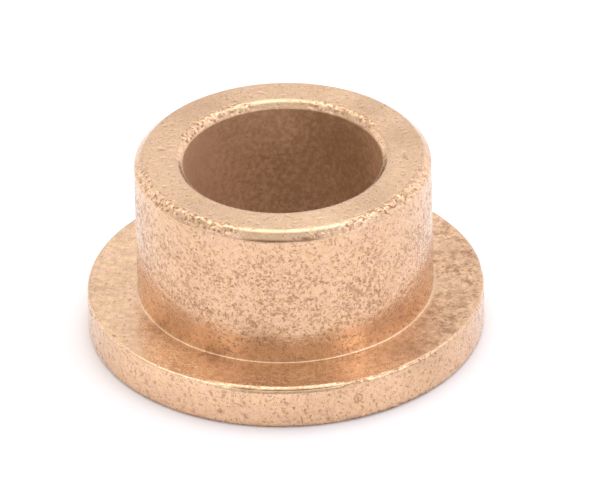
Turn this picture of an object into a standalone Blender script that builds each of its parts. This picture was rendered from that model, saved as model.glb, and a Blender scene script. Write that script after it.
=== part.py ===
"""Flanged sleeve bushing, pressed and sintered in one piece from porous bronze.

Metres, +Z up. The bushing stands on its flange: the origin is the centre of the
flange's bottom face, and +Z runs along the bore's axis towards the plain end.
"""

import math

import bpy

OBJECT_NAME = "flanged_sleeve_bushing"

# Driving dimensions.
BORE_DIAMETER = 0.0128
SLEEVE_DIAMETER = 0.01905
FLANGE_DIAMETER = 0.0255
FLANGE_THICKNESS = 0.0029
OVERALL_LENGTH = 0.0125
OUTER_CHAMFER = 0.00056
BORE_CHAMFER = 0.00042
CHAMFER_ANGLE = 45
CHAMFER_ROUND = 0.0004
ROOT_RADIUS = 0.00015
RIM_RADIUS = 0.00025
HEEL_RADIUS = 0.0004

# How finely the turned shape is divided.
TURN_STEPS = 96
ARC_STEPS = 3
SMOOTH_ANGLE = math.radians(30)


def arc(centre, radius, start, end):
    """Points on an arc in the profile's plane, from one angle to the other, both included."""
    x, z = centre
    points = []
    for step in range(ARC_STEPS + 1):
        angle = math.radians(start + (end - start) * step / ARC_STEPS)
        points.append((x + radius * math.cos(angle), z + radius * math.sin(angle)))
    return points


def plain_end():
    """Across the top face, from the bore's wall to the sleeve's. A chamfer breaks each edge, and
    runs into the face with a round that touches both."""
    bore = BORE_DIAMETER / 2
    sleeve = SLEEVE_DIAMETER / 2
    reach = CHAMFER_ROUND * math.tan(math.radians(CHAMFER_ANGLE / 2))
    centre_height = OVERALL_LENGTH - CHAMFER_ROUND
    inner = (bore + BORE_CHAMFER + reach, centre_height)
    outer = (sleeve - OUTER_CHAMFER - reach, centre_height)
    return [
        (bore, OVERALL_LENGTH - BORE_CHAMFER),
        *arc(inner, CHAMFER_ROUND, 90 + CHAMFER_ANGLE, 90),
        *arc(outer, CHAMFER_ROUND, 90, 90 - CHAMFER_ANGLE),
        (sleeve, OVERALL_LENGTH - OUTER_CHAMFER),
    ]


def root_fillet():
    """The small concave corner where the sleeve runs into the flange."""
    centre = (SLEEVE_DIAMETER / 2 + ROOT_RADIUS, FLANGE_THICKNESS + ROOT_RADIUS)
    return arc(centre, ROOT_RADIUS, 180, 270)


def flange_edge():
    """Round the flange's edge: its upper corner, then the larger round of its lower one."""
    outer = FLANGE_DIAMETER / 2
    rim = arc((outer - RIM_RADIUS, FLANGE_THICKNESS - RIM_RADIUS), RIM_RADIUS, 90, 0)
    heel = arc((outer - HEEL_RADIUS, HEEL_RADIUS), HEEL_RADIUS, 0, -90)
    return rim + heel


def bore_mouth():
    """The chamfer of the bore in the flange's bottom face."""
    bore = BORE_DIAMETER / 2
    return [(bore + BORE_CHAMFER, 0), (bore, BORE_CHAMFER)]


def profile_mesh():
    """The bushing's section as one closed outline: out across the top, down the outer side,
    in across the bottom, and back up the bore."""
    outline = plain_end() + root_fillet() + flange_edge() + bore_mouth()
    vertices = [(x, 0, z) for x, z in outline]
    count = len(vertices)
    edges = [(index, (index + 1) % count) for index in range(count)]
    mesh = bpy.data.meshes.new("flanged_sleeve")
    mesh.from_pydata(vertices, edges, [])
    return mesh


def bronze():
    """Porous sintered bronze, bright and slightly pink."""
    material = bpy.data.materials.new("sintered_bronze")
    material.use_nodes = True
    shader = material.node_tree.nodes["Principled BSDF"]
    shader.inputs["Base Color"].default_value = (0.82, 0.57, 0.39, 1)
    shader.inputs["Metallic"].default_value = 1
    shader.inputs["Roughness"].default_value = 0.32
    return material


def turn(sleeve):
    """Turns the outline once round the bore's axis."""
    screw = sleeve.modifiers.new("turn", "SCREW")
    screw.axis = "Z"
    screw.angle = math.tau
    screw.steps = TURN_STEPS
    screw.render_steps = TURN_STEPS
    screw.use_merge_vertices = True
    screw.merge_threshold = 0.00001
    screw.use_smooth_shade = True


def build_sleeve():
    """The one piece: sleeve and flange pressed together."""
    sleeve = bpy.data.objects.new("flanged_sleeve", profile_mesh())
    sleeve.data.materials.append(bronze())
    turn(sleeve)
    return sleeve


def bake_and_shade(sleeve):
    """Keeps the turned shape as a mesh, smooth round its axis and sharp at its corners."""
    bpy.context.view_layer.update()
    graph = bpy.context.evaluated_depsgraph_get()
    turned = bpy.data.meshes.new_from_object(sleeve.evaluated_get(graph))
    sleeve.modifiers.clear()
    sleeve.data = turned
    turned.name = sleeve.name
    turned.shade_smooth()
    turned.set_sharp_from_angle(angle=SMOOTH_ANGLE)


def main():
    for stale in list(bpy.data.objects):
        bpy.data.objects.remove(stale)
    collection = bpy.data.collections.new(OBJECT_NAME)
    bpy.context.scene.collection.children.link(collection)
    sleeve = build_sleeve()
    collection.objects.link(sleeve)
    bake_and_shade(sleeve)


main()
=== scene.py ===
"""The looks of the flanged sleeve bushing: its turned shape with worn, grainy edges and open pores,
its sintered bronze, and the table, light and camera. Metres, +Z up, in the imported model's frame.

Places on the bushing are given as degrees round from the front (0) to the right (90), the distance
from the axis and the height, the last two in mm."""

import math
from collections import namedtuple
from functools import reduce

import bpy
import numpy as np
from mathutils import Matrix, Vector, noise


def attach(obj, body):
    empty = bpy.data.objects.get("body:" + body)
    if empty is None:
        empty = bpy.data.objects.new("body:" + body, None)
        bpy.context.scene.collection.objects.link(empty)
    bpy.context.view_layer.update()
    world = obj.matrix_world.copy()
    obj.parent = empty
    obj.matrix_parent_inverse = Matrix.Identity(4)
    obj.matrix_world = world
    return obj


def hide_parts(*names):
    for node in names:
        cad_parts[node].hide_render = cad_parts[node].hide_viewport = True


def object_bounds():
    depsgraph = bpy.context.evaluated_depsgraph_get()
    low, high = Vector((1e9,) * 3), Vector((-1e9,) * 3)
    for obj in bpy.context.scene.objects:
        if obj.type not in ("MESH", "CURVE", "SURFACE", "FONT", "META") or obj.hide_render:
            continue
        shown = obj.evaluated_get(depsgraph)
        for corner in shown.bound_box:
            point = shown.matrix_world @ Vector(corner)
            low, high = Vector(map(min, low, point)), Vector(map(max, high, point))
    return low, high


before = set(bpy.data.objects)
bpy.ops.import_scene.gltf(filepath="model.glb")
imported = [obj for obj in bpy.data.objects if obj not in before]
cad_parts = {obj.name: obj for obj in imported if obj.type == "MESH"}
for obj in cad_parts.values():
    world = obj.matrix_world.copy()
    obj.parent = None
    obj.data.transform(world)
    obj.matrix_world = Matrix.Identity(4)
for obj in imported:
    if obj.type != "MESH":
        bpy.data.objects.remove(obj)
cad_low, cad_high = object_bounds()

NODE = "flanged_sleeve"
MM = 0.001

# The section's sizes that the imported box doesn't give.
BORE_RADIUS = 6.4 * MM
SLEEVE_RADIUS = 9.525 * MM
FLANGE_THICKNESS = 2.9 * MM
OUTER_CHAMFER = 0.51 * MM
BORE_CHAMFER = 0.42 * MM
EDGE_ROUND = 0.48 * MM
OUTER_BREAK_RADIUS = 0.20 * MM
RIM_RADIUS = 0.17 * MM
HEEL_RADIUS = 0.30 * MM

# The sharpest corners, which stay unworn: at both ends of the bore and at the sleeve's foot.
SHARP_RADIUS = 0.08 * MM

TURN_STEPS = 512

# The seat's rows lie closer together towards the rim, where the wear is fine: 1 is evenly spaced.
SEAT_ROW_EASE = 1.6

# Corners sharper than this break the smooth shading.
SHADING_BREAK = math.radians(50)

Corner = namedtuple("Corner", "at radius steps rows side")
Row = namedtuple("Row", "radius height side")


# ---------------------------------------------------------------- the section

def rounded(at, before, after, radius, steps):
    """A rounded corner of an outline: points on the arc that touches both its sides."""
    at, before, after = Vector(at), Vector(before), Vector(after)
    to_before = (before - at).normalized()
    to_after = (after - at).normalized()
    half = to_before.angle(to_after) / 2
    bisector = (to_before + to_after).normalized()
    centre = at + bisector * radius / math.sin(half)
    first = at + to_before * radius / math.tan(half) - centre
    last = at + to_after * radius / math.tan(half) - centre
    turn = first.angle_signed(last)
    points = []
    for step in range(steps + 1):
        spin = Matrix.Rotation(-turn * step / steps, 2)
        points.append(centre + spin @ first)
    return points


def outline():
    """The section's corners, in (r, z): up the bore's mouth, out across the top, down the outside,
    in across the bottom and up the bore. Each names the side after it and its rows."""
    top = cad_high.z
    flange = cad_high.x
    bore_end = BORE_RADIUS + BORE_CHAMFER
    return [
        Corner((BORE_RADIUS, top - BORE_CHAMFER), SHARP_RADIUS, 4, 5, "edge"),
        Corner((bore_end, top), EDGE_ROUND, 5, 16, "top"),
        Corner((SLEEVE_RADIUS - OUTER_CHAMFER, top), EDGE_ROUND, 5, 6, "edge"),
        Corner((SLEEVE_RADIUS, top - OUTER_CHAMFER), OUTER_BREAK_RADIUS, 4, 70, "wall"),
        Corner((SLEEVE_RADIUS, FLANGE_THICKNESS), SHARP_RADIUS, 3, 24, "seat"),
        Corner((flange, FLANGE_THICKNESS), RIM_RADIUS, 6, 19, "side"),
        Corner((flange, 0.0), HEEL_RADIUS, 5, 4, "base"),
        Corner((bore_end, 0.0), SHARP_RADIUS, 2, 2, "edge"),
        Corner((BORE_RADIUS, BORE_CHAMFER), SHARP_RADIUS, 2, 10, "bore"),
    ]


def section():
    """Every row of the turned surface, in the outline's order."""
    corners = outline()
    arcs = []
    for index, corner in enumerate(corners):
        before = corners[index - 1].at
        after = corners[(index + 1) % len(corners)].at
        arcs.append(rounded(corner.at, before, after, corner.radius, corner.steps))
    rows = []
    for index, corner in enumerate(corners):
        name = "sharp" if corner.radius == SHARP_RADIUS else "edge"
        rows += [Row(point.x, point.y, name) for point in arcs[index]]
        start = arcs[index][-1]
        end = arcs[(index + 1) % len(corners)][0]
        for step in range(1, corner.rows):
            share = step / corner.rows
            if corner.side == "seat":
                share *= SEAT_ROW_EASE - (SEAT_ROW_EASE - 1) * share
            point = start.lerp(end, share)
            rows.append(Row(point.x, point.y, corner.side))
    return rows


def row_normals(rows):
    """The outward normal of each row in (r, z), from its two neighbours."""
    line = np.array([(row.radius, row.height) for row in rows])
    along = np.roll(line, -1, axis=0) - np.roll(line, 1, axis=0)
    across = np.stack([-along[:, 1], along[:, 0]], axis=1)
    return across / np.linalg.norm(across, axis=1, keepdims=True)


def column(values):
    """One value for each row, as a column that spreads round the grid."""
    return np.array(values)[:, None]


def radii_of(rows):
    return column([row.radius for row in rows])


def heights_of(rows):
    return column([row.height for row in rows])


def on_side(rows, *names):
    return column([row.side in names for row in rows])


# ---------------------------------------------------------------- tools of the relief

# How far apart in the noise neighbouring seeds lie, in wavelengths.
SEEDS_APART = (17.3, 5.1, 9.7)


def noise_at(points, size, seed):
    """Smooth noise, about -1 to 1, at each point of a grid; size is its wavelength."""
    shift = Vector([seed * apart for apart in SEEDS_APART])
    scale = 1 / size
    values = [noise.noise(Vector(point) * scale + shift) for point in points.reshape(-1, 3)]
    return np.array(values).reshape(points.shape[:2])


def smooth_step(value, low, high):
    share = np.clip((value - low) / (high - low), 0, 1)
    return share * share * (3 - 2 * share)


def turned_from(angles, centre):
    """How far round each angle is from a direction, in degrees: to the right is above nought."""
    return (np.degrees(angles) + 90 - centre + 180) % 360 - 180


def window(angles, centre, full, faded):
    """1 within some degrees of a direction, then fading to 0."""
    return 1 - smooth_step(np.abs(turned_from(angles, centre)), full, faded)[None, :]


def offsets(rows, angles, turn, radius, height):
    """How far each point of the grid lies from a place: round the bushing, and across, in mm."""
    along = np.radians(turned_from(angles, turn))[None, :] * radius
    across = np.hypot(radii_of(rows) / MM - radius, heights_of(rows) / MM - height)
    return along, across


# ---------------------------------------------------------------- pores

# Noises of the relief: the wavelength and the seed of each.
COARSE_PATCHES = (1.4 * MM, 8)
PORE_CLUMPS = (1.8 * MM, 5)
CRACK_LINES = (0.50 * MM, 13)
CRACK_BREAKS = (0.36 * MM, 17)
PITS = (0.27 * MM, 19)

# The part of the seat that was left coarse: its direction, and how many degrees to both sides it
# is full and has faded. Then how coarse it is on average, and how much that varies.
COARSE_SEAT = (88, 26, 62)
COARSE_MEAN = 0.75
COARSE_SPREAD = 0.4

# How crowded the pores are on each side, how much more so on the coarse seat and in the middle of
# the sleeve's wall, and at which shares of its half height that starts to fade and has faded.
PORE_CROWDS = {"wall": 0.45, "side": 0.50, "seat": 0.22, "top": 0.40, "bore": 0.4, "edge": 0.3}
COARSE_CROWD = 0.5
WALL_MIDDLE_CROWD = 0.5
WALL_MIDDLE_FADE = (0.25, 0.95)
CLUMPING = 0.7
MOST_CROWDED = 1.2

# A crack lies where its noise is near nought and the breaks' noise is high, a pit where its own is
# high: the values where each begins and is fully open, and how much crowding lowers those.
CRACK_WIDTH = (0.04, 0.15)
CRACK_FROM = (0.46, 0.60)
CRACK_BY_CROWD = 0.30
PIT_FROM = (0.62, 0.74)
PIT_BY_CROWD = 0.22
PORE_DEPTH = 0.034 * MM


def coarse_patch(rows, angles, points):
    """Where the seat was left coarse, on its right: 0 to 1."""
    patches = COARSE_MEAN + COARSE_SPREAD * noise_at(points, *COARSE_PATCHES)
    return on_side(rows, "seat") * window(angles, *COARSE_SEAT) * patches.clip(0, 1)


def crowding(rows, points, coarse):
    """How crowded the pores are at each point of the grid: 0 to about 1."""
    middle = (cad_high.z + FLANGE_THICKNESS) / 2
    reach = (cad_high.z - FLANGE_THICKNESS) / 2
    bulge = 1 - smooth_step(np.abs(heights_of(rows) - middle) / reach, *WALL_MIDDLE_FADE)
    base = column([PORE_CROWDS.get(row.side, 0) for row in rows])
    base = base + on_side(rows, "wall") * bulge * WALL_MIDDLE_CROWD
    clumps = 1 + CLUMPING * noise_at(points, *PORE_CLUMPS)
    return (base * clumps + coarse * COARSE_CROWD).clip(0, MOST_CROWDED)


def pores(rows, points, crowd):
    """How open a pore is at each point of the grid: 0 to 1. They are short winding cracks between
    the grains, and a few rounder pits."""
    cracks = 1 - smooth_step(np.abs(noise_at(points, *CRACK_LINES)), *CRACK_WIDTH)
    breaks = noise_at(points, *CRACK_BREAKS) + CRACK_BY_CROWD * crowd
    pits = noise_at(points, *PITS) + PIT_BY_CROWD * crowd
    cracks = cracks * smooth_step(breaks, *CRACK_FROM)
    open_sides = on_side(rows, "wall", "side", "seat", "top")
    return np.maximum(cracks, smooth_step(pits, *PIT_FROM)) * open_sides


# ---------------------------------------------------------------- wear

# More noises of the relief, and how deep the waves and the grains of the worn edges go.
WAVES = (2.6 * MM, 1)
WEAR_PATCHES = (2.2 * MM, 3)
EDGE_GRAINS = (0.34 * MM, 2)
WAVE_DEPTH = 0.006 * MM
EDGE_GRAIN_DEPTH = 0.058 * MM

# Where the edges are worn and grainy: a direction, and how many degrees to both sides of it the
# wear is full and has faded. The outer chamfer keeps a smooth stretch in the middle of its wear.
OUTER_WORN = (-3.5, 74, 92)
OUTER_SMOOTH = (-3.5, 11, 17)
MOUTH_WORN_LEFT = (-136, 22, 34)
MOUTH_WORN_RIGHT = (142, 18, 30)
RIM_WORN = (33, 11, 20)

# The outer chamfer's wear starts and is full this far under the top face. Then how strong the rest
# of the wear is, and the noise values between which its patches fade in.
OUTER_WEAR_DEPTHS = (0.60 * MM, 0.34 * MM)
MOUTH_RIGHT_WEAR = 0.8
MOUTH_LEAST_WEAR = 0.15
RIM_WEAR = 0.30
RIM_EXTRA_WEAR = 0.65
PATCHY_WEAR = (-0.8, 0.0)

# The flange's upper corner is worn: to a rounded bevel at the front, which starts at a radius on
# the seat and has a radius of its own, and to a narrower, flat and rougher one right of the front.
# The front one fades in and out over these degrees. Lengths are in mm. The right one cuts deeper
# than its plane by its bite.
FRONT_BEVEL_STARTS = 12.34
FRONT_BEVEL_RADIUS = 1.37
FRONT_BEVEL_TILT = math.radians(66)
FRONT_BEVEL_FADES_IN = (-32, -12)
FRONT_BEVEL_FADES_OUT = (14, 19)
RIGHT_BEVEL_STARTS = 12.56
RIGHT_BEVEL_TILT = math.radians(57)
RIGHT_BEVEL_BITE = 1 / 0.85

# Dents: the place of each, its length round the bushing, its width and its depth, in mm, and how
# dark the painted shade in it is.
DENTS = [
    # Along the flange's upper corner, at the front.
    (-12.3, 12.64, 2.84, 0.75, 0.15, 0.020, 1.0),
    (-6.5, 12.64, 2.84, 0.60, 0.13, 0.015, 0.7),
    (-2.6, 12.64, 2.84, 0.55, 0.14, 0.015, 1.0),
    (3.5, 12.64, 2.84, 1.00, 0.14, 0.015, 0.95),
    (9.0, 12.65, 2.84, 0.80, 0.11, 0.010, 0.7),
    # Under the outer chamfer, at the front.
    (-6.0, 9.50, 11.99, 1.60, 0.08, 0.030, 0.9),
    (8.5, 9.50, 11.99, 0.70, 0.08, 0.026, 0.8),
    (8.0, 9.44, 12.06, 0.30, 0.09, 0.050, 0.9),
    (13.0, 9.44, 12.07, 0.10, 0.08, 0.040, 0.8),
    # Single ones, elsewhere on both edges.
    (-33.0, 12.68, 2.82, 0.25, 0.10, 0.040, 0.3),
    (38.0, 12.68, 2.82, 0.30, 0.12, 0.040, 0.3),
    (-128.0, 9.30, 12.25, 0.35, 0.14, 0.050, 0.3),
    (96.0, 12.68, 2.80, 0.40, 0.12, 0.050, 0.2),
    (171.0, 9.30, 12.25, 0.50, 0.12, 0.050, 0.3),
    (-162.0, 12.68, 2.80, 0.35, 0.12, 0.050, 0.3),
]

# One shallow ring-shaped pit in the flange's side, right of the front. Its sizes are in mm.
RING_PIT_AT = (20.5, 12.75, 1.65)
RING_PIT_RADIUS = 0.27
RING_PIT_WIDTH = 0.07
RING_PIT_DEPTH = 0.03


def scuffing(rows, angles, points):
    """How worn the edges are: 0 on the smooth stretches of the chamfers, up to 1."""
    heights = heights_of(rows)
    upper = heights > FLANGE_THICKNESS
    inner = radii_of(rows) < (BORE_RADIUS + SLEEVE_RADIUS) / 2
    starts, full = OUTER_WEAR_DEPTHS
    outer = window(angles, *OUTER_WORN) * (1 - window(angles, *OUTER_SMOOTH))
    outer = outer * smooth_step(heights, cad_high.z - starts, cad_high.z - full)
    right = MOUTH_RIGHT_WEAR * window(angles, *MOUTH_WORN_RIGHT)
    mouth = np.maximum(window(angles, *MOUTH_WORN_LEFT), right)
    mouth = MOUTH_LEAST_WEAR + (1 - MOUTH_LEAST_WEAR) * mouth
    rim = RIM_WEAR + RIM_EXTRA_WEAR * window(angles, *RIM_WORN)
    worn = on_side(rows, "edge") * np.where(upper, np.where(inner, mouth, outer), rim)
    return worn * smooth_step(noise_at(points, *WEAR_PATCHES), *PATCHY_WEAR)


def rim_loss(rows, angles):
    """How far the flange's upper corner is worn down, in metres."""
    radii = radii_of(rows) / MM
    heights = heights_of(rows) / MM
    seat = FLANGE_THICKNESS / MM

    turn = turned_from(angles, 0)
    front = smooth_step(turn, *FRONT_BEVEL_FADES_IN)
    front = front * (1 - smooth_step(turn, *FRONT_BEVEL_FADES_OUT))
    centre_radius = FRONT_BEVEL_STARTS - FRONT_BEVEL_RADIUS * math.cos(FRONT_BEVEL_TILT)
    centre_height = seat - FRONT_BEVEL_RADIUS * math.sin(FRONT_BEVEL_TILT)
    beyond = np.hypot(radii - centre_radius, heights - centre_height) - FRONT_BEVEL_RADIUS
    near = (radii > centre_radius) & (heights > centre_height)
    bevel = np.where(near, beyond, 0).clip(0, None) * front[None, :]

    steep = (radii - RIGHT_BEVEL_STARTS) * math.cos(RIGHT_BEVEL_TILT)
    steep = steep + (heights - seat) * math.sin(RIGHT_BEVEL_TILT)
    steep = np.where(near, steep, 0).clip(0, None) * window(angles, *RIM_WORN)
    return np.maximum(bevel, steep * RIGHT_BEVEL_BITE) * MM


def dents(rows, angles):
    """How deep the dents go, in metres, and how dark the painted shade in them is: 0 to 1."""
    depth = np.zeros((len(rows), TURN_STEPS))
    dent_shade = np.zeros((len(rows), TURN_STEPS))
    for turn, radius, height, length, width, deep, dark in DENTS:
        along, across = offsets(rows, angles, turn, radius, height)
        dent = np.exp(-(along / length) ** 2 - (across / width) ** 2)
        depth += deep * MM * dent
        dent_shade = np.maximum(dent_shade, dark * dent)
    return depth, dent_shade


def ring_pit(rows, angles):
    """How deep the ring-shaped pit goes, in metres."""
    along, across = offsets(rows, angles, *RING_PIT_AT)
    off_ring = (np.hypot(along, across) - RING_PIT_RADIUS) / RING_PIT_WIDTH
    return RING_PIT_DEPTH * MM * np.exp(-off_ring ** 2)


# ---------------------------------------------------------------- darker and paler parts

# Soft patches where the metal is darker, or paler where the last number is below nought: the place
# of each, its size in mm, and how dark.
TARNISH = [
    # On the top face.
    (-150, 8.3, 12.5, 1.5, 0.4),
    (-135, 8.1, 12.5, 2.2, 1.0),
    (-45, 8.1, 12.5, 1.5, 0.6),
    (-28, 8.1, 12.5, 1.2, 0.4),
    (15, 8.1, 12.5, 1.3, -0.6),
    (45, 8.1, 12.5, 1.6, 0.8),
    (106, 8.1, 12.5, 1.7, 0.9),
    (120, 8.1, 12.5, 1.2, -0.45),
    (135, 8.1, 12.5, 1.3, 0.7),
    (150, 8.1, 12.5, 1.2, -0.5),
    # In the bore.
    (144, 6.4, 10.3, 2.4, 0.9),
    # Low on the sleeve's wall.
    (-59, 9.6, 2.9, 0.9, 1.3),
    (-46, 9.5, 4.2, 1.6, 0.8),
    (-40, 9.5, 3.8, 0.9, 0.5),
    (-32, 9.5, 3.7, 1.4, 1.7),
    (-29, 9.5, 3.0, 0.8, 1.2),
    (-12, 9.5, 4.5, 1.5, 1.3),
    (-6, 9.5, 4.5, 0.9, 1.0),
    (0, 9.5, 3.9, 1.0, 0.5),
    (8, 9.5, 3.5, 0.7, 0.6),
    (14, 9.5, 3.9, 1.0, 0.7),
    (27, 9.5, 3.5, 0.8, -0.6),
    (41, 9.5, 3.5, 0.8, -0.8),
    (48, 9.5, 4.4, 1.0, 0.6),
    (55, 9.5, 3.1, 0.9, 0.4),
    # On the seat.
    (-86, 11.4, 2.9, 1.6, 0.7),
    (-83, 11.0, 2.9, 1.2, -0.6),
    (-41, 11.3, 2.9, 2.0, -1.3),
    (-36, 10.4, 2.9, 1.5, -1.1),
    (-30, 11.9, 2.9, 1.0, -0.8),
    (-27, 11.3, 2.9, 1.0, -0.7),
    (-24, 11.6, 2.9, 1.6, -1.0),
    (-12, 10.3, 2.9, 1.6, -0.6),
    (-3, 11.6, 2.9, 2.0, -1.1),
    (-2, 11.2, 2.9, 0.9, -0.6),
    (6, 10.3, 2.9, 1.2, -0.9),
    (13, 10.5, 2.9, 0.9, -0.8),
    (23, 10.2, 2.9, 0.8, 0.8),
    (24, 11.2, 2.9, 1.0, -0.8),
    (44, 11.6, 2.9, 1.7, 1.6),
    (50, 10.1, 2.9, 1.0, -0.6),
    (58, 11.4, 2.9, 1.2, 0.5),
    (66, 11.3, 2.9, 1.6, 0.6),
    (80, 11.2, 2.9, 1.2, 0.8),
    (104, 11.5, 2.9, 1.8, 0.9),
    # On the flange's side.
    (-52, 12.75, 1.5, 1.3, -0.4),
    (2, 12.75, 1.4, 2.2, 0.4),
    (33, 12.75, 1.5, 2.2, -0.4),
]

# Painted light, where the bore is paler: directions as for the wear, how pale the weaker two are,
# and the heights between which the one at the back fades in.
BORE_PALE_LEFT = (-108, 10, 80)
BORE_PALE_RIGHT = (106, 4, 24)
BORE_PALE_BACK = (-169, 10, 36)
BORE_RIGHT_PALENESS = 0.5
BORE_BACK_PALENESS = 0.55
BORE_BACK_HEIGHTS = (8.0 * MM, 9.9 * MM)

# The bore's own look fades over these distances outside its radius.
BORE_LOOK_FADE = (0.03 * MM, 0.12 * MM)


def tarnish(rows, angles):
    """How dark the patches are at each point of the grid; below nought is paler."""
    shade = np.zeros((len(rows), TURN_STEPS))
    for turn, radius, height, size, dark in TARNISH:
        along, across = offsets(rows, angles, turn, radius, height)
        shade += dark * np.exp(-(along ** 2 + across ** 2) / size ** 2)
    return shade


def bore_painted_light(rows, angles):
    """Painted light: where the bore is paler, round its left, at its right and at its upper back. 0
    to 1.
    """
    left = window(angles, *BORE_PALE_LEFT)
    right = BORE_RIGHT_PALENESS * window(angles, *BORE_PALE_RIGHT)
    back = BORE_BACK_PALENESS * window(angles, *BORE_PALE_BACK)
    back = back * smooth_step(heights_of(rows), *BORE_BACK_HEIGHTS)
    return np.maximum(np.maximum(left, right), back)


def in_bore(rows):
    """The bore's own surface, and the corner that its chamfer ends in: 0 to 1."""
    return 1 - smooth_step(radii_of(rows) - BORE_RADIUS, *BORE_LOOK_FADE)


# ---------------------------------------------------------------- the mesh

# How dark the open pores are, and the painted shade in the hollows between the worn grains with
# the values of the grains' noise where those begin and are full, and how much darker than a patch
# the dents' painted shade is.
PORE_DARKNESS = 0.66
HOLLOW_SHADE = 0.5
HOLLOW_FROM = (0.55, 0.95)
DENT_SHADE_TARNISH = 2.5


def grid_faces(count):
    """Quads between neighbouring rows, all the way round."""
    row = np.arange(count)[:, None]
    step = np.arange(TURN_STEPS)[None, :]
    next_row = (row + 1) % count
    next_step = (step + 1) % TURN_STEPS
    quads = [
        row * TURN_STEPS + step,
        next_row * TURN_STEPS + step,
        next_row * TURN_STEPS + next_step,
        row * TURN_STEPS + next_step,
    ]
    return np.stack(quads, axis=2).reshape(-1, 4).tolist()


def turned_grid(rows, angles):
    """Every point of the plain turned surface, and the direction into the metal there."""
    around = np.stack([np.cos(angles), np.sin(angles)], axis=1)
    points = np.empty((len(rows), TURN_STEPS, 3))
    points[:, :, :2] = radii_of(rows)[:, :, None] * around
    points[:, :, 2] = heights_of(rows)
    across = row_normals(rows)
    inward = np.empty_like(points)
    inward[:, :, :2] = -across[:, 0][:, None, None] * around
    inward[:, :, 2] = -across[:, 1][:, None]
    return points, inward


def store(mesh, name, values):
    """Keeps a value for each point of the grid. A column of values is the same all round."""
    grid = (len(mesh.vertices) // TURN_STEPS, TURN_STEPS)
    attribute = mesh.attributes.new(name, "FLOAT", "POINT")
    spread = np.broadcast_to(values, grid).reshape(-1)
    attribute.data.foreach_set("value", spread.astype(np.float32))


def sleeve_mesh():
    """The bushing's surface: turned rows, sunk inwards by their waves, pores, wear and dents."""
    rows = section()
    angles = np.arange(TURN_STEPS) * math.tau / TURN_STEPS
    points, inward = turned_grid(rows, angles)

    coarse = coarse_patch(rows, angles, points)
    crowd = crowding(rows, points, coarse)
    pore = pores(rows, points, crowd)
    worn = scuffing(rows, angles, points)
    grains = 0.5 + noise_at(points, *EDGE_GRAINS)
    dented, dent_shade = dents(rows, angles)
    depth = (0.5 + 0.5 * noise_at(points, *WAVES)) * WAVE_DEPTH + pore * PORE_DEPTH
    depth += worn * grains * EDGE_GRAIN_DEPTH + dented
    depth += rim_loss(rows, angles) + ring_pit(rows, angles)
    depth *= ~on_side(rows, "base")
    points += inward * depth.clip(0, None)[:, :, None]

    mesh = bpy.data.meshes.new("porous_bronze_sleeve")
    mesh.from_pydata(points.reshape(-1, 3).tolist(), [], grid_faces(len(rows)))
    # Painted shade in the hollows between the worn grains.
    hollows = HOLLOW_SHADE * worn * smooth_step(grains, *HOLLOW_FROM)
    # The dents' painted shade darkens towards the pores' brown and adds to the tarnish.
    store(mesh, "pore", np.maximum(np.maximum(PORE_DARKNESS * pore, hollows), dent_shade))
    store(mesh, "tarnish", tarnish(rows, angles) + DENT_SHADE_TARNISH * dent_shade)
    store(mesh, "bore", in_bore(rows))
    # Painted light: where the bore is paler.
    store(mesh, "bore_painted_light", bore_painted_light(rows, angles))
    store(mesh, "seat", on_side(rows, "seat"))
    store(mesh, "crowd", crowd)
    store(mesh, "coarse", coarse)
    store(mesh, "worn", worn)
    mesh.shade_smooth()
    mesh.set_sharp_from_angle(angle=SHADING_BREAK)
    mesh.update()
    return mesh


# ---------------------------------------------------------------- node trees

class Graph:
    """A material's or world's node tree. An input is a number, a vector or a node's output."""

    def __init__(self, tree):
        self.tree = tree

    def add(self, kind, inputs, **settings):
        node = self.tree.nodes.new("ShaderNode" + kind)
        for name, value in settings.items():
            setattr(node, name, value)
        for name, value in inputs.items():
            self.feed(node, name, value)
        return node

    def feed(self, node, name, value):
        if isinstance(value, bpy.types.NodeSocket):
            self.tree.links.new(value, node.inputs[name])
        else:
            node.inputs[name].default_value = value

    def math(self, operation, first, second=0.0):
        return self.add("Math", {0: first, 1: second}, operation=operation).outputs[0]

    def times(self, first, second):
        return self.math("MULTIPLY", first, second)

    def plus(self, first, second):
        return self.math("ADD", first, second)

    def minus(self, first, second):
        return self.math("SUBTRACT", first, second)

    def most(self, *values):
        return reduce(lambda first, second: self.math("MAXIMUM", first, second), values)

    def vector(self, operation, first, second, output=0):
        node = self.add("VectorMath", {0: first, 1: second}, operation=operation)
        return node.outputs[output]

    def scaled(self, vector, share):
        node = self.add("VectorMath", {0: vector, "Scale": share}, operation="SCALE")
        return node.outputs[0]

    def noise(self, where, size, detail=2.0, roughness=0.5, distortion=0.0):
        inputs = {
            "Vector": where,
            "Scale": 1 / size,
            "Detail": detail,
            "Roughness": roughness,
            "Distortion": distortion,
        }
        return self.add("TexNoise", inputs).outputs[0]

    def ramp(self, value, low, high, start=0.0, end=1.0):
        inputs = {
            "Value": value,
            "From Min": low,
            "From Max": high,
            "To Min": start,
            "To Max": end,
        }
        node = self.add("MapRange", inputs, interpolation_type="SMOOTHSTEP")
        return node.outputs[0]

    def blend(self, share, first, second):
        node = self.add("Mix", {0: share, 6: first, 7: second}, data_type="RGBA")
        return node.outputs[2]

    def attribute(self, name):
        return self.add("Attribute", {}, attribute_name=name).outputs["Fac"]


def shader_of(name):
    material = bpy.data.materials.new(name)
    material.use_nodes = True
    return material, material.node_tree.nodes["Principled BSDF"]


# ---------------------------------------------------------------- materials

GOLDEN = (0.765, 0.500, 0.296, 1)
PINKISH = (0.765, 0.492, 0.316, 1)
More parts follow.
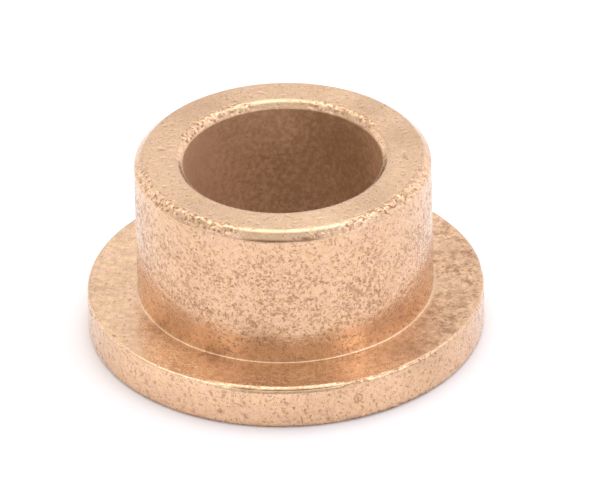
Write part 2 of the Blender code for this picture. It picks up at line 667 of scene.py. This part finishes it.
# PORE_BROWN is also the painted shade in the dents, the worn grains' hollows and the ring's line.
PORE_BROWN = (0.35, 0.165, 0.070, 1)
BORE_BROWN = (0.428, 0.245, 0.116, 1)
BORE_PALE = (0.71, 0.43, 0.25, 1)
GRAIN_DARK = (0.925, 0.90, 0.875, 1)
GRAIN_LIGHT = (1.075, 1.10, 1.125, 1)
TARNISH_LOSS = (-0.16, -0.19, -0.22)
TABLE_WHITE = (0.935, 0.900, 0.895, 1)
TABLE_ROUGHNESS = 0.6
TABLE_SPECULAR = 0.2

# Noises of the bronze: the size, the detail and the roughness of each, and the fine lines'
# distortion. Their values are 0 to 1 and mostly within 0.35 to 0.65, where the ramps take them.
TINTS = (0.80 * MM, 3, 0.6)
BORE_MOTTLING = (0.34 * MM, 3, 0.7)
GRAIN = (0.19 * MM, 2, 0.6)
CLOUDS = (0.55 * MM, 2, 0.65)
SMEARS = (0.38 * MM, 2, 0.6)
FINE_LINES = (0.34 * MM, 1, 0.5, 0.8)
FINE_BREAKS = (0.26 * MM, 2, 0.6)
DOTS = (0.21 * MM, 1, 0.5)
BLOTCHES = (0.60 * MM, 2, 0.6)
BEADS = (0.24 * MM, 1)

# How pale the bore is where its painted light is nought, and how much its mottling varies that.
BORE_PALENESS = 0.12
BORE_MOTTLE = 0.34

# The grain's share in the shading that it and its clouds make.
GRAIN_SHARE = 0.55

# How strongly the smears tarnish the metal, and how much more so on the seat.
SMEAR = 0.3
SEAT_SMEAR = 1.2

# The fine pores: half their lines' width, as the noise's distance from its middle; below which
# noise cracks and specks open, and how much crowding raises that; and how dark they are, also in
# the bore as a share.
FINE_LINE_WIDTH = (0.025, 0.085)
FINE_CRACK_BELOW, FINE_CRACK_BY_CROWD, FINE_CRACK_DARKNESS = 0.37, 0.14, 0.56
SPECK_BELOW, SPECK_BY_CROWD, SPECK_DARKNESS = 0.29, 0.09, 0.75
FINE_IN_BORE = 0.25

# How dark the coarse seat's dots and blotches are, and the painted shade in the worn grains'
# hollows and along the ring's line.
DOT_DARKNESS = 0.35
BLOTCH_DARKNESS = 0.62
BEAD_HOLLOW_SHADE = 0.95
RING_SHADE = 0.62
RING_LINE_WIDTH = (0.015 * MM, 0.090 * MM)

# Roughness between the grains and on them, and what the pores, the bore, the seat and its coarse
# part add to it. The coat is the oil's soft sheen.
ROUGH_BETWEEN, ROUGH_ON_GRAINS = 0.38, 0.15
PORE_ROUGHER, BORE_ROUGHER, SEAT_ROUGHER, COARSE_ROUGHER = 0.22, 0.25, 0.08, 0.10
BORE_METALLIC = 0.4
COAT = {"Coat Weight": 0.8, "Coat Roughness": 0.5, "Coat IOR": 1.5}

# The bump's heights: the grain's, the fine pores' and the worn beads', in its own distance.
GRAIN_BUMP, FINE_BUMP, BEAD_BUMP = 0.7, -1.0, 4.5
BUMP_DISTANCE = 0.018 * MM
BUMP_STRENGTH = 0.55


def place_at(turn, radius, height):
    """The point at a place, in metres."""
    turn = math.radians(turn)
    return Vector((radius * math.sin(turn), -radius * math.cos(turn), height)) * MM


def metal_tint(graph, place, bore):
    """Soft golden and pinkish patches, and the browner, mottled bore with its painted light."""
    patches = graph.ramp(graph.noise(place, *TINTS), 0.36, 0.64)
    outside = graph.blend(patches, GOLDEN, PINKISH)
    mottling = graph.noise(place, *BORE_MOTTLING)
    mottling = graph.ramp(mottling, 0.35, 0.65, -BORE_MOTTLE, BORE_MOTTLE)
    # Painted light: the bore is paler round its left, at its right and at its upper back.
    paleness = graph.plus(graph.attribute("bore_painted_light"), BORE_PALENESS)
    inside = graph.blend(graph.plus(paleness, mottling), BORE_BROWN, BORE_PALE)
    return graph.blend(bore, outside, inside)


def metal_gain(graph, place, grain):
    """How much lighter or darker the fine grain, the smears and the tarnish make the metal."""
    clouds = graph.noise(place, *CLOUDS)
    shade = graph.times(grain, GRAIN_SHARE)
    shade = graph.plus(shade, graph.times(clouds, 1 - GRAIN_SHARE))
    gain = graph.blend(graph.ramp(shade, 0.34, 0.66), GRAIN_DARK, GRAIN_LIGHT)
    smears = graph.ramp(graph.noise(place, *SMEARS), 0.3, 0.7, -0.5, 0.5)
    smeared = graph.plus(graph.times(graph.attribute("seat"), SEAT_SMEAR), SMEAR)
    # The tarnish also holds the dents' painted shade.
    tarnished = graph.plus(graph.attribute("tarnish"), graph.times(smears, smeared))
    kept = graph.vector("ADD", graph.scaled(TARNISH_LOSS, tarnished), (1, 1, 1))
    return graph.vector("MULTIPLY", gain, kept)


def fine_pores(graph, place, bore, dots):
    """Pores too fine for the mesh: short winding cracks where they crowd, and specks. 0 to 1."""
    crowd = graph.attribute("crowd")
    off_line = graph.math("ABSOLUTE", graph.minus(graph.noise(place, *FINE_LINES), 0.5))
    lines = graph.ramp(off_line, *FINE_LINE_WIDTH, 1.0, 0.0)
    reach = graph.plus(FINE_CRACK_BELOW, graph.times(crowd, FINE_CRACK_BY_CROWD))
    breaks = graph.noise(place, *FINE_BREAKS)
    cracks = graph.times(lines, graph.ramp(graph.minus(reach, breaks), -0.02, 0.05))
    reach = graph.plus(SPECK_BELOW, graph.times(crowd, SPECK_BY_CROWD))
    specks = graph.ramp(graph.minus(reach, dots), -0.01, 0.05)
    cracks = graph.times(cracks, FINE_CRACK_DARKNESS)
    fine = graph.most(cracks, graph.times(specks, SPECK_DARKNESS))
    return graph.times(fine, graph.ramp(bore, 0, 1, 1, FINE_IN_BORE))


def coarse_mottle(graph, place, coarse, dots):
    """The dark dots and blotches of the seat's coarse part."""
    dotted = graph.ramp(dots, 0.42, 0.56, DOT_DARKNESS, 0)
    blotched = graph.ramp(graph.noise(place, *BLOTCHES), 0.40, 0.52, BLOTCH_DARKNESS, 0)
    return graph.times(graph.plus(dotted, blotched), coarse)


def ring_line(graph, place):
    """The painted shade along the ring-shaped pit's line."""
    away = graph.vector("DISTANCE", place, place_at(*RING_PIT_AT), "Value")
    off_ring = graph.math("ABSOLUTE", graph.minus(away, RING_PIT_RADIUS * MM))
    return graph.ramp(off_ring, *RING_LINE_WIDTH, RING_SHADE, 0.0)


def bronze():
    """Porous bronze: tinted and grained metal, brown in its pores, with an oily sheen."""
    material, shader = shader_of("sintered_bronze")
    graph = Graph(material.node_tree)
    place = graph.add("TexCoord", {}).outputs["Object"]
    bore = graph.attribute("bore")
    worn = graph.attribute("worn")
    coarse = graph.attribute("coarse")
    grain = graph.noise(place, *GRAIN)
    dots = graph.noise(place, *DOTS)
    beads = graph.noise(place, *BEADS)
    fine = fine_pores(graph, place, bore, dots)

    dark = graph.most(
        # The pores, with the painted shade of the dents and of the worn grains' hollows.
        graph.attribute("pore"),
        fine,
        coarse_mottle(graph, place, coarse, dots),
        # Painted shade in the hollows between the worn beads.
        graph.times(graph.ramp(beads, 0.36, 0.47, BEAD_HOLLOW_SHADE, 0.0), worn),
        # Painted shade along the ring-shaped pit's line.
        ring_line(graph, place),
    )
    colour = graph.blend(dark, metal_tint(graph, place, bore), PORE_BROWN)
    colour = graph.vector("MULTIPLY", colour, metal_gain(graph, place, grain))
    graph.feed(shader, "Base Color", colour)

    # The smeared grains are bright and smooth, and the metal between them is rough.
    rough = graph.ramp(grain, 0.38, 0.54, ROUGH_BETWEEN, ROUGH_ON_GRAINS)
    rough = graph.plus(rough, graph.times(dark, PORE_ROUGHER))
    rough = graph.plus(rough, graph.times(bore, BORE_ROUGHER))
    rough = graph.plus(rough, graph.times(graph.attribute("seat"), SEAT_ROUGHER))
    rough = graph.plus(rough, graph.times(coarse, COARSE_ROUGHER))
    graph.feed(shader, "Roughness", rough)
    graph.feed(shader, "Metallic", graph.ramp(bore, 0, 1, 1, BORE_METALLIC))
    for name, value in COAT.items():
        shader.inputs[name].default_value = value

    height = graph.plus(graph.times(grain, GRAIN_BUMP), graph.times(fine, FINE_BUMP))
    height = graph.plus(height, graph.times(graph.times(beads, worn), BEAD_BUMP))
    inputs = {"Height": height, "Distance": BUMP_DISTANCE, "Strength": BUMP_STRENGTH}
    graph.feed(shader, "Normal", graph.add("Bump", inputs).outputs["Normal"])
    return material


def white_table():
    material, shader = shader_of("white_table")
    shader.inputs["Base Color"].default_value = TABLE_WHITE
    shader.inputs["Roughness"].default_value = TABLE_ROUGHNESS
    shader.inputs["Specular IOR Level"].default_value = TABLE_SPECULAR
    return material


# ---------------------------------------------------------------- stage

FLOOR_REACH = 12.0
FLOOR_GAP = 0.01 * MM

# The studio: soft boxes all round, as azimuth from the front to the right, elevation, the angles
# where each starts to fade and has faded, all in degrees, how much it adds to the room, and its
# colour.
ROOM = 0.80
NEUTRAL = (1, 1, 1)
COOL = (0.87, 1.0, 1.26)
WARM = (1.05, 1.0, 0.88)
SOFT_BOXES = {
    "overhead": (180, 74, 14, 41, 0.95, NEUTRAL),
    "high_left": (-105, 68, 8, 28, 0.45, NEUTRAL),
    "high_right": (105, 66, 8, 30, 0.80, COOL),
    "back": (180, 25, 20, 90, 0.165, NEUTRAL),
    "left_back": (-119, 10, 11, 28, 0.55, NEUTRAL),
    "right_back": (127, 13, 8, 28, 0.42, NEUTRAL),
    "right_front": (54, 28, 9, 19, 1.20, COOL),
    "right": (100, 28, 14, 30, 0.45, COOL),
    "left": (-55, 32, 10, 27, 0.46, COOL),
    "dark_card": (0, 0, 12, 36, -0.38, WARM),
}

# The camera: far off, a little above, and turned slightly about its own axis.
CAMERA_DISTANCE = 0.857
CAMERA_LENS_MM = 798.0
CAMERA_SENSOR_MM = 36
CAMERA_ELEVATION = math.radians(32.15)
CAMERA_ROLL = math.radians(1.36)
AIM_RIGHT = 0.868 * MM
AIM_UP = 5.195 * MM


def add_floor():
    size = FLOOR_REACH
    mesh = bpy.data.meshes.new("floor")
    mesh.from_pydata(
        [(-size, -size, 0), (size, -size, 0), (size, size, 0), (-size, size, 0)],
        [],
        [(0, 1, 2, 3)],
    )
    floor = bpy.data.objects.new("floor", mesh)
    floor.location.z = cad_low.z - FLOOR_GAP
    mesh.materials.append(white_table())
    bpy.context.scene.collection.objects.link(floor)


def toward(azimuth, elevation):
    azimuth, elevation = math.radians(azimuth), math.radians(elevation)
    level = math.cos(elevation)
    return (math.sin(azimuth) * level, -math.cos(azimuth) * level, math.sin(elevation))


def add_world():
    world = bpy.data.worlds.new("studio")
    world.use_nodes = True
    bpy.context.scene.world = world
    graph = Graph(world.node_tree)
    where = graph.add("TexCoord", {}).outputs["Generated"]
    light = (ROOM, ROOM, ROOM)
    for azimuth, elevation, full, faded, strength, colour in SOFT_BOXES.values():
        along = graph.vector("DOT_PRODUCT", where, toward(azimuth, elevation), "Value")
        edge = math.cos(math.radians(faded))
        middle = math.cos(math.radians(full))
        share = graph.ramp(along, edge, middle, 0, strength)
        light = graph.vector("ADD", light, graph.scaled(colour, share))
    graph.feed(world.node_tree.nodes["Background"], "Color", light)


def add_camera():
    """Looks at the bushing from in front and above; the aim is set off from its base's centre."""
    camera = bpy.data.objects.new("camera", bpy.data.cameras.new("camera"))
    camera.data.lens = CAMERA_LENS_MM
    camera.data.sensor_width = CAMERA_SENSOR_MM
    level = Matrix.Rotation(math.pi / 2 - CAMERA_ELEVATION, 3, "X")
    turned = level @ Matrix.Rotation(-CAMERA_ROLL, 3, "Z")
    base = Vector(((cad_low.x + cad_high.x) / 2, (cad_low.y + cad_high.y) / 2, cad_low.z))
    place = base + turned @ Vector((AIM_RIGHT, AIM_UP, CAMERA_DISTANCE))
    camera.matrix_world = Matrix.Translation(place) @ turned.to_4x4()
    bpy.context.scene.collection.objects.link(camera)
    bpy.context.scene.camera = camera


def main():
    scene = bpy.context.scene
    scene.view_settings.view_transform = "Standard"
    mesh = sleeve_mesh()
    sleeve = bpy.data.objects.new("porous_bronze_sleeve", mesh)
    scene.collection.objects.link(sleeve)
    mesh.materials.append(bronze())
    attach(sleeve, "root")
    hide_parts(NODE)
    add_floor()
    add_world()
    add_camera()


main()
